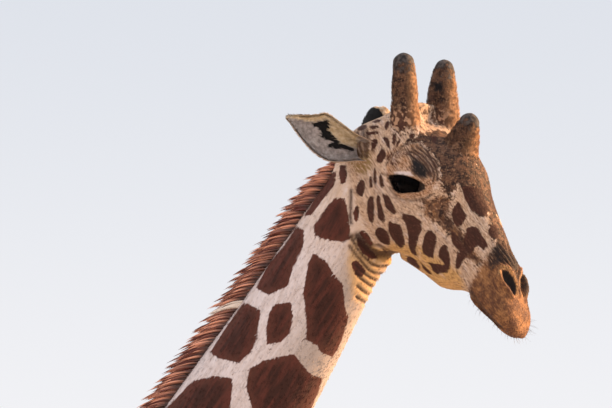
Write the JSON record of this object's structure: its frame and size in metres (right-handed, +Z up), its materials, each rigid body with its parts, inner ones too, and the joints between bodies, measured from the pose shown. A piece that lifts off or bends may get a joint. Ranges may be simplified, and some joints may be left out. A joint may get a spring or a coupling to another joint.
{
  "type": "reticulated giraffe",
  "caption": "Life-size standing giraffe, whole body, head turned to its right, for display as a still model.",
  "frame": {"origin": "on the floor, under the middle of the animal's overall box", "axes": "+X forward along the body, +Y to the animal's left, +Z up from the soles"},
  "size_m": [3.0652, 0.77, 4.7128],
  "materials": {
    "coat": "short dense hair, dark polygon patches parted by pale lines",
    "ear_skin": "short hair, pale inside with dark streaks",
    "horn_skin": "short hair, worn bare and dark at the tip",
    "eye": "wet and glossy",
    "hoof": "satin horn with growth rings",
    "tuft_hair": "long coarse black hair"
  },
  "bodies": {
    "root": {"ear_left": "ear_skin", "ear_right": "ear_skin", "eye_left": "eye", "eye_right": "eye", "foreleg_left": "coat", "foreleg_right": "coat", "head": "coat", "hindleg_left": "coat", "hindleg_right": "coat", "hoof_front_left_inner": "hoof", "hoof_front_left_outer": "hoof", "hoof_front_right_inner": "hoof", "hoof_front_right_outer": "hoof", "hoof_hind_left_inner": "hoof", "hoof_hind_left_outer": "hoof", "hoof_hind_right_inner": "hoof", "hoof_hind_right_outer": "hoof", "neck": "coat", "ossicone_left": "horn_skin", "ossicone_median": "horn_skin", "ossicone_right": "horn_skin", "tail": "coat", "tail_tuft": "tuft_hair", "torso": "coat"}
  },
  "joints": []
}
